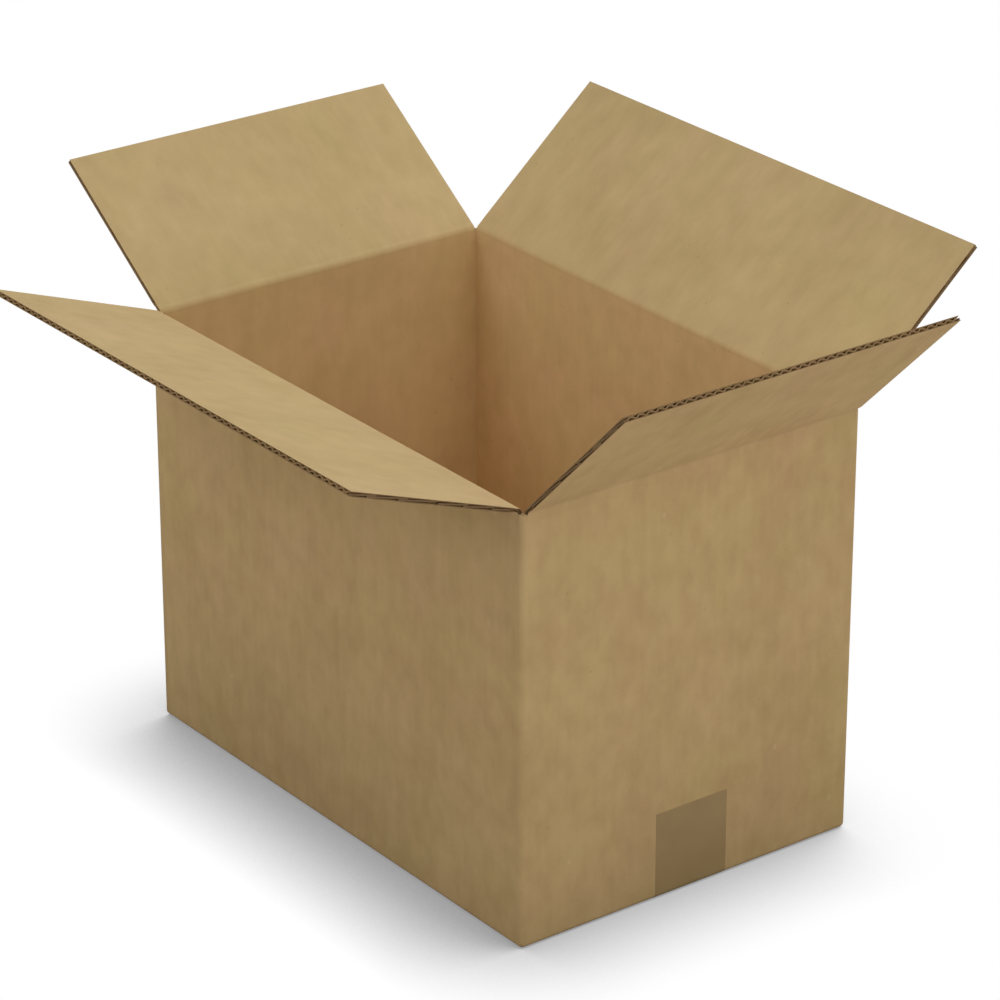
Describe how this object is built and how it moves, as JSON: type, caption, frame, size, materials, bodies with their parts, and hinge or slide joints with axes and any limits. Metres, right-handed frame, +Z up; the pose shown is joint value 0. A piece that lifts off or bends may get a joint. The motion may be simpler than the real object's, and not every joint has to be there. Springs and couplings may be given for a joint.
{
  "type": "open corrugated shipping carton",
  "caption": "Regular slotted corrugated carton with a taped bottom and its top flaps folded open on hinged creases.",
  "frame": {"origin": "middle of the base, on the underside of the tape, where the carton stands", "axes": "+Z up; +X along the long side, towards the end shown at the right in the picture; +Y across the width, away from the long wall shown at the left in the picture"},
  "size_m": [0.531, 0.4302, 0.3456],
  "materials": {
    "kraft_board": "matt",
    "brown_tape": "semi-matt"
  },
  "bodies": {
    "carton": {"carton_body": "kraft_board", "bottom_tape": "brown_tape"},
    "front_flap": {"front_flap": "kraft_board"},
    "back_flap": {"back_flap": "kraft_board"},
    "left_flap": {"left_flap": "kraft_board"},
    "right_flap": {"right_flap": "kraft_board"}
  },
  "joints": [
    {"name": "front_crease", "type": "hinge", "parent": "carton", "child": "front_flap", "pos_m": [0, -0.11815, 0.26285], "axis": [1, 0, 0], "range_deg": [-160, 105]},
    {"name": "back_crease", "type": "hinge", "parent": "carton", "child": "back_flap", "pos_m": [0, 0.11815, 0.26285], "axis": [-1, 0, 0], "range_deg": [-139, 126]},
    {"name": "left_crease", "type": "hinge", "parent": "carton", "child": "left_flap", "pos_m": [-0.17815, 0, 0.26077], "axis": [0, -1, 0], "range_deg": [-145, 120]},
    {"name": "right_crease", "type": "hinge", "parent": "carton", "child": "right_flap", "pos_m": [0.17815, 0, 0.26077], "axis": [0, 1, 0], "range_deg": [-135, 130]}
  ]
}
